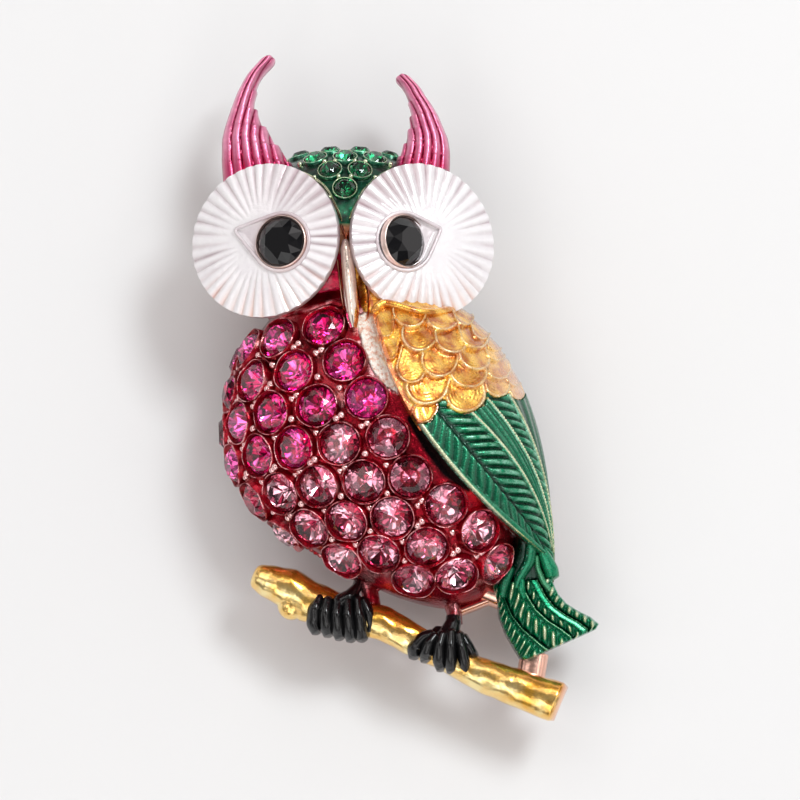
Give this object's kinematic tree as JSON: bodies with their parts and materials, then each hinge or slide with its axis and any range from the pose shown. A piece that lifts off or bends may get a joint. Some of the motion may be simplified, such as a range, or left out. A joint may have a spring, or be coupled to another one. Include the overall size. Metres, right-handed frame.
{
  "type": "animal brooch",
  "caption": "Owl brooch on a branch: hollow-backed enamelled casting set with round cut stones, two fluted eye discs, and a pin bar across its back.",
  "frame": {"origin": "centre of the bounding box in X and Y, on the surface that the pin fitting's blocks lie on", "axes": "+X to the right seen from the front, +Y up along the owl from branch to ear tufts, +Z out of its face"},
  "size_m": [0.0402, 0.0653, 0.0191],
  "materials": {
    "enamelled_casting": "rose-gold plated zinc alloy under coloured enamel",
    "plated_fitting": "rose-gold plate",
    "fuchsia_stone": "foil-backed cut glass",
    "rose_stone": "foil-backed cut glass",
    "emerald_stone": "foil-backed cut glass",
    "black_stone": "opaque cut glass"
  },
  "bodies": {
    "root": {"casting": "enamelled_casting", "pin_back": "plated_fitting", "eye_stone_left": "black_stone", "eye_stone_right": "black_stone", "crown_stones": "emerald_stone", "stone_01": "fuchsia_stone", "stone_02": "fuchsia_stone", "stone_03": "fuchsia_stone", "stone_04": "rose_stone", "stone_05": "rose_stone", "stone_06": "rose_stone", "stone_07": "rose_stone", "stone_08": "rose_stone", "stone_09": "fuchsia_stone", "stone_10": "fuchsia_stone", "stone_11": "fuchsia_stone", "stone_12": "rose_stone", "stone_13": "rose_stone", "stone_14": "rose_stone", "stone_15": "rose_stone", "stone_16": "rose_stone", "stone_17": "fuchsia_stone", "stone_18": "fuchsia_stone", "stone_19": "fuchsia_stone", "stone_20": "fuchsia_stone", "stone_21": "rose_stone", "stone_22": "rose_stone", "stone_23": "rose_stone", "stone_24": "rose_stone", "stone_25": "fuchsia_stone", "stone_26": "fuchsia_stone", "stone_27": "fuchsia_stone", "stone_28": "fuchsia_stone", "stone_29": "rose_stone", "stone_30": "rose_stone", "stone_31": "rose_stone", "stone_32": "fuchsia_stone", "stone_33": "fuchsia_stone", "stone_34": "rose_stone", "stone_35": "rose_stone"}
  },
  "joints": []
}
